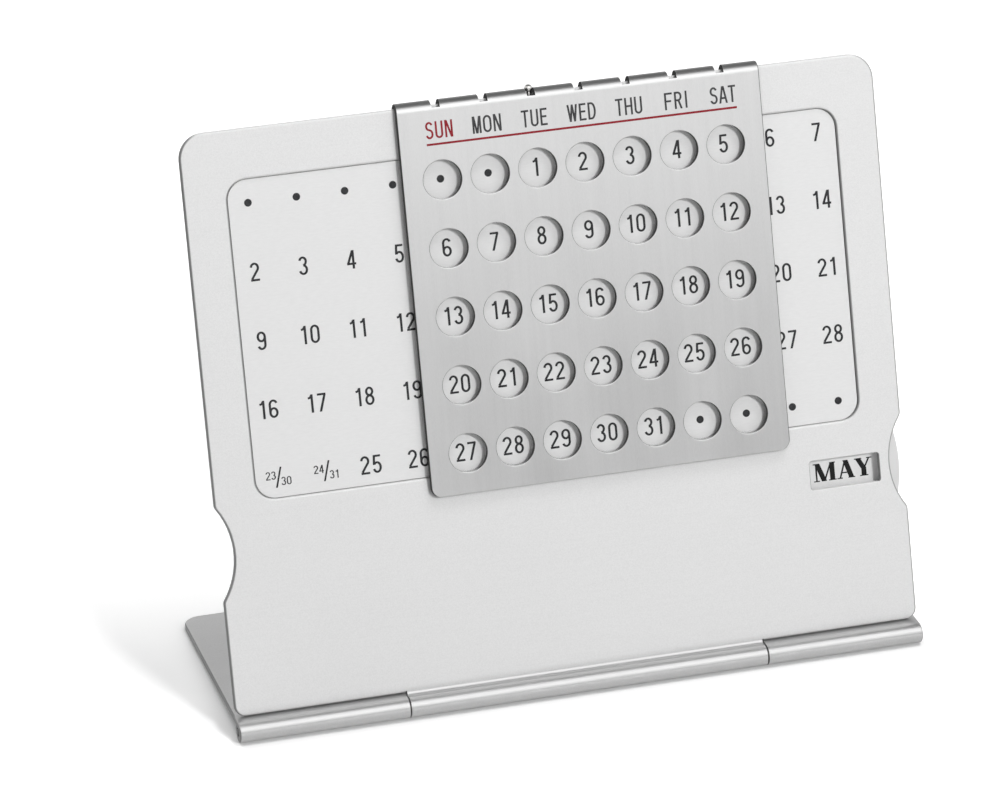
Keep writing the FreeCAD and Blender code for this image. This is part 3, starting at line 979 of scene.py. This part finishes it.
def add_dot(ink, x, y):
    """A round spot of ink on the plate, where there is no day."""
    turns = [2 * math.pi * i / dot_sides for i in range(dot_sides)]
    rim = [(dot_radius * math.cos(turn), dot_radius * math.sin(turn)) for turn in turns]
    place = on_sheet(x, y, plate_face)
    low, high = [
        [ink.verts.new(place @ Vector((*spot, z))) for spot in rim] for z in (-ink_sink, ink_height)
    ]
    ink.faces.new(high)
    ink.faces.new(reversed(low))
    for i in range(dot_sides):
        j = (i + 1) % dot_sides
        ink.faces.new((low[i], low[j], high[j], high[i]))


def add_day(ink, x, y, day):
    """A day's number on the plate."""
    place = on_sheet(x, y, plate_face)
    set_word(ink, str(day), figures, place, number_size, number_squeeze, number_gap)


print("columns are", round(column_pitch / mm, 2), "mm apart")

# %% [markdown]
# A shared place has the earlier day small at the upper left of the slash and the later one at its
# lower right.

# %% Printing the numbers
shared_size = 1.62 * mm
shared_squeeze = 1.25
shared_gap = 0.06
shared_shift = 0.7 * mm
earlier_at = (-1.55 * mm, 0.45 * mm)
later_at = (1.45 * mm, -0.85 * mm)
slash_run = 0.55 * mm
slash_rise = 2.0 * mm
slash_width = 0.34 * mm


def add_shared(ink, x, y, day):
    """Two days a week apart that share a place, with a slash between them."""
    x += shared_shift
    for number, (beside, above) in ((day, earlier_at), (day + days_in_week, later_at)):
        place = on_sheet(x + beside, y + above, plate_face)
        set_word(ink, str(number), figures, place, shared_size, shared_squeeze, shared_gap)
    slash = bar(-slash_run, -slash_rise, slash_run, slash_rise, slash_width)
    add_strip(ink, *slash, on_sheet(x, y, plate_face), ink_height)


numbers = bmesh.new()
for row in range(rows):
    for column in range(columns):
        day = day_at(row, column)
        x, y = column_x(column), row_y(row)
        if day < 1 or day > last_day:
            add_dot(numbers, x, y)
        elif row == rows - 1 and day + days_in_week <= last_day:
            add_shared(numbers, x, y, day)
        else:
            add_day(numbers, x, y, day)
finish_piece("numbers_print", numbers, grey_ink, "panel")

# %% [markdown]
# The weekdays stand above the slider's windows, Sunday in red, over a thin red line.

# %% Weekdays on the slider
weekdays = ("SUN", "MON", "TUE", "WED", "THU", "FRI", "SAT")
slider_face = reach("date_slider", outward)[1]
print_shift = 0.2 * mm
print_middle = sum(reach("date_slider", across)) / 2 + print_shift
weekday_y = 111.9 * mm
weekday_size = 3.35 * mm
weekday_squeeze = 1.02
weekday_gap = 0.09
rule_y = 109.15 * mm
rule_width = 0.42 * mm
rule_reach = 31.4 * mm


def slider_x(index):
    return print_middle + (index - (days_in_week - 1) / 2) * column_pitch


sunday = bmesh.new()
week = bmesh.new()
for index, name in enumerate(weekdays):
    ink = week if index else sunday
    place = on_sheet(slider_x(index), weekday_y, slider_face)
    set_word(ink, name, capitals, place, weekday_size, weekday_squeeze, weekday_gap)
to_rule = on_sheet(print_middle, rule_y, slider_face)
add_strip(sunday, *bar(-rule_reach, 0, rule_reach, 0, rule_width), to_rule, ink_height)
finish_piece("sunday_print", sunday, red_ink, "slider")
finish_piece("weekday_print", week, pale_ink, "slider")

# %% [markdown]
# Twelve month names stand round the disc like spokes, so that each one comes level in the window. At
# rest the window shows May.

# %% Month names on the disc
months = ("JAN", "FEB", "MAR", "APR", "MAY", "JUN", "JUL", "AUG", "SEP", "OCT", "NOV", "DEC")
shown_month = months.index("MAY")
month_size = 3.65 * mm
month_squeeze = 1.4
month_gap = 0.01
name_shift = 0.35 * mm
disc_face = reach("month_disc", outward)[1]
disc_x = across.dot(disc_middle - hinge)
disc_y = up_the_panel.dot(disc_middle - hinge)
window_box = frame["record"]["physics"]["openings"][0]["box_m"]
window_x = (window_box[0][0] + window_box[1][0]) / 2
out_to_the_name = Matrix.Translation((window_x + name_shift - disc_x, 0, 0))
names = bmesh.new()
for index, name in enumerate(months):
    turn = math.radians(360 / len(months)) * (shown_month - index)
    spoke = on_sheet(disc_x, disc_y, disc_face) @ Matrix.Rotation(turn, 4, "Z")
    place = spoke @ out_to_the_name
    set_word(names, name, book_letters, place, month_size, month_squeeze, month_gap)
finish_piece("month_names_print", names, black_ink, "month")

# %% [markdown]
# The click pin stands on a small coil spring inside the panel's top edge. A solid from the
# construction model moves but can't shorten, so the spring is drawn again here: a round wire wound on
# a helix, over the same height and width.

# %% Click spring
spring_turns = 5
wire_radius = 0.125 * mm
steps_in_a_turn = 24
sides_of_wire = 8
spring_seat, spring_top = reach("click_spring", up_the_panel)
spring_left, spring_right = reach("click_spring", across)
spring_back, spring_front = reach("click_spring", outward)
coil_x = (spring_left + spring_right) / 2
coil_z = (spring_back + spring_front) / 2
coil_radius = (spring_right - spring_left) / 2 - wire_radius
coil_climb = (spring_top - spring_seat - 2 * wire_radius) / spring_turns
coil_slope = coil_climb / (2 * math.pi * coil_radius)


def wire_ring(wound, turn):
    """The points round the wire, so many turns up from the seat."""
    angle = 2 * math.pi * turn
    outwards = Vector((math.cos(angle), 0, math.sin(angle)))
    heading = Vector((-math.sin(angle), coil_slope, math.cos(angle))).normalized()
    along_the_pin = heading.cross(outwards)
    height = spring_seat + wire_radius + coil_climb * turn
    middle = Vector((coil_x, height, coil_z)) + coil_radius * outwards
    ring = []
    for i in range(sides_of_wire):
        round_wire = 2 * math.pi * i / sides_of_wire
        rim = math.cos(round_wire) * outwards + math.sin(round_wire) * along_the_pin
        ring.append(wound.verts.new(panel_plane @ (middle + wire_radius * rim)))
    return ring


wound = bmesh.new()
rings = [wire_ring(wound, i / steps_in_a_turn) for i in range(spring_turns * steps_in_a_turn + 1)]
for a, b in zip(rings, rings[1:]):
    for i in range(sides_of_wire):
        j = (i + 1) % sides_of_wire
        wound.faces.new((a[i], a[j], b[j], b[i]))
wound.faces.new(rings[0])
wound.faces.new(reversed(rings[-1]))
wound_spring = finish_piece("wound_click_spring", wound, spring_steel, "panel")
for face in wound_spring.data.polygons:
    face.use_smooth = True
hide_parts("click_spring")
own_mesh(wound_spring)

# %% [markdown]
# The camera and mirrors should find a white studio around the calendar, while the light that falls on
# it stays plain. The kind of a ray tells the two apart, so table and room both ask for it. The table
# and the cards that the metal reflects are plain rectangles, made by one helper.

# %% Helpers for the studio
def seen_directly(tree):
    """1 for rays from the camera, from mirrors and through glass, otherwise 0."""
    path = add(tree, "ShaderNodeLightPath")
    first = combined(tree, "MAXIMUM", path.outputs["Is Camera Ray"], path.outputs["Is Glossy Ray"])
    return combined(tree, "MAXIMUM", first, path.outputs["Is Transmission Ray"])


def flat_sheet(name, material, width, height, place):
    """A rectangle for the studio, which isn't part of the calendar."""
    sheet = bmesh.new()
    corners = ((-1, -1), (1, -1), (1, 1), (-1, 1))
    sheet.faces.new([sheet.verts.new((x * width / 2, y * height / 2, 0)) for x, y in corners])
    mesh = bpy.data.meshes.new(name)
    sheet.to_mesh(mesh)
    sheet.free()
    mesh.materials.append(material)
    made = bpy.data.objects.new(name, mesh)
    made.matrix_world = place
    bpy.context.scene.collection.objects.link(made)
    return made


print("white is for camera, mirror and glass rays alone")

# %% [markdown]
# The table is a pale sweep. To the camera it is white, as a lit paper roll is, but it still takes
# shadows. The trick is a little light of its own that only the camera, mirrors and glass see, laid on
# top of a plain pale surface. Far from the calendar, where the lamps fade, it grows to plain white.
# Close under the metal it fades instead, a painted contact shadow, so the hinge stands on a soft dark line.

# %% Table
table_size = 12.0
table_grey = 0.8
table_roughness = 0.9
table_gloss = 0.1
near_glow = 0.42
far_glow = 1.0
near_reach = 0.3
far_reach = 1.0
contact_reach = 12 * mm
contact_dark = 0.3
contact_light = 0.95


def make_table_paper():
    tree, shader, material = new_finish("table_paper", grey(table_grey), 0.0, table_roughness)
    shader.inputs["Specular IOR Level"].default_value = table_gloss
    glow = add(tree, "ShaderNodeEmission", inputs={"Color": (1, 1, 1, 1)})
    from_middle = add(tree, "ShaderNodeVectorMath", operation="LENGTH")
    tree.links.new(place_from(tree, (0, 0, 0)), from_middle.inputs[0])
    glowing = spread(tree, from_middle.outputs["Value"], near_reach, far_reach, near_glow, far_glow)
    # Painted contact shadow: the glow fades close under the metal.
    clear = open_to_the_room(tree, contact_reach, contact_dark, contact_light)
    shaded = combined(tree, "MULTIPLY", glowing, clear)
    strength = combined(tree, "MULTIPLY", seen_directly(tree), shaded)
    tree.links.new(strength, glow.inputs["Strength"])
    both = add(tree, "ShaderNodeAddShader")
    tree.links.new(shader.outputs["BSDF"], both.inputs[0])
    tree.links.new(glow.outputs["Emission"], both.inputs[1])
    tree.links.new(both.outputs["Shader"], tree.nodes["Material Output"].inputs["Surface"])
    return material


flat_sheet("table", make_table_paper(), table_size, table_size, Matrix.Identity(4))
print("table of", table_size, "metres")

# %% [markdown]
# The room is white to the camera and to mirrors, and a soft grey to everything else, so it fills the
# shadows without flattening them.

# %% Room
room_fill = 0.12


def make_room():
    world = bpy.data.worlds.new("white_room")
    world.use_nodes = True
    tree = world.node_tree
    background = tree.nodes["Background"]
    strength = spread(tree, seen_directly(tree), 0, 1, room_fill, 1.0)
    tree.links.new(strength, background.inputs["Strength"])
    background.inputs["Color"].default_value = (1, 1, 1, 1)
    bpy.context.scene.world = world


make_room()
print("the room fills the shadows with", room_fill)

# %% [markdown]
# Polished metal shows its surroundings, so cards give it something to show. Only shiny surfaces see
# them. Darker ones stand in front, to the left and behind and lie on the table. A thin bright one low
# in front and a wide one above the camera draw highlights along the rounded edges. Each has its
# brightness, width and height, its place and the way that it faces.

# %% Cards
cards = {
    "front_card": (0.13, 1.2, 0.11, (0.1, -0.4, 0.085), (0, 1, 0)),
    "low_strip": (2.0, 1.2, 0.03, (0.1, -0.4, 0.015), (0, 1, 0)),
    "near_floor_card": (0.5, 1.2, 0.4, (0.1, -0.19, 0.0002), (0, 0, 1)),
    "left_card": (0.2, 0.9, 0.6, (-0.7, -0.25, 0.2), (1, 0.2, 0)),
    "high_back_card": (0.2, 2.4, 1.2, (0.2, 0.45, 1.0), (-0.1, -0.45, -0.85)),
    "low_back_card": (0.6, 2.4, 0.7, (0.3, 0.9, 0.35), (-0.1, -1, 0)),
    "back_floor_card": (0.2, 1.6, 0.6, (0.15, 0.4, 0.001), (0, 0, 1)),
    "bright_strip": (1.8, 1.6, 0.8, (0.24, -0.66, 1.0), (-0.2, 0.55, -0.82)),
}


def reflected_card(name, brightness, width, height, position, towards):
    """A card that only shiny surfaces see, as a studio hangs beside polished metal."""
    material = bpy.data.materials.new(name)
    material.use_nodes = True
    tree = material.node_tree
    tree.nodes.remove(tree.nodes["Principled BSDF"])
    settings = {"Color": (1, 1, 1, 1), "Strength": brightness}
    glow = add(tree, "ShaderNodeEmission", inputs=settings)
    tree.links.new(glow.outputs["Emission"], tree.nodes["Material Output"].inputs["Surface"])
    turn = Vector(towards).to_track_quat("Z", "Y").to_matrix().to_4x4()
    card = flat_sheet(name, material, width, height, Matrix.Translation(Vector(position)) @ turn)
    card.visible_camera = False
    card.visible_diffuse = False
    card.visible_transmission = False
    card.visible_shadow = False


for name, card in cards.items():
    reflected_card(name, *card)
print(len(cards), "cards for the metal to reflect")

# %% [markdown]
# Three square soft boxes light the calendar: the key from the front right, one overhead that throws
# the short shadow on the table, and one behind for the base. Each has its place, its side in metres
# and its power in watts.

# %% Lamps
lamps = {
    "key_light": ((0.85, -1.85, 1.3), 0.36, 34.0),
    "top_light": ((0.32, -0.1, 1.15), 0.4, 5.8),
    "back_light": ((-0.3, 0.9, 0.9), 0.6, 7.5),
}


def soft_box(name, position, side, watts):
    """A lamp that points at the middle of the calendar."""
    data = bpy.data.lights.new(name, "AREA")
    data.shape = "RECTANGLE"
    data.size = side
    data.size_y = side
    data.energy = watts
    lamp = bpy.data.objects.new(name, data)
    lamp.location = position
    aim = Vector(position) - (cad_box[0] + cad_box[1]) / 2
    lamp.rotation_euler = aim.to_track_quat("Z", "Y").to_euler()
    lamp.visible_glossy = False
    bpy.context.scene.collection.objects.link(lamp)


for name, lamp in lamps.items():
    soft_box(name, *lamp)
print("lamps:", ", ".join(lamps))
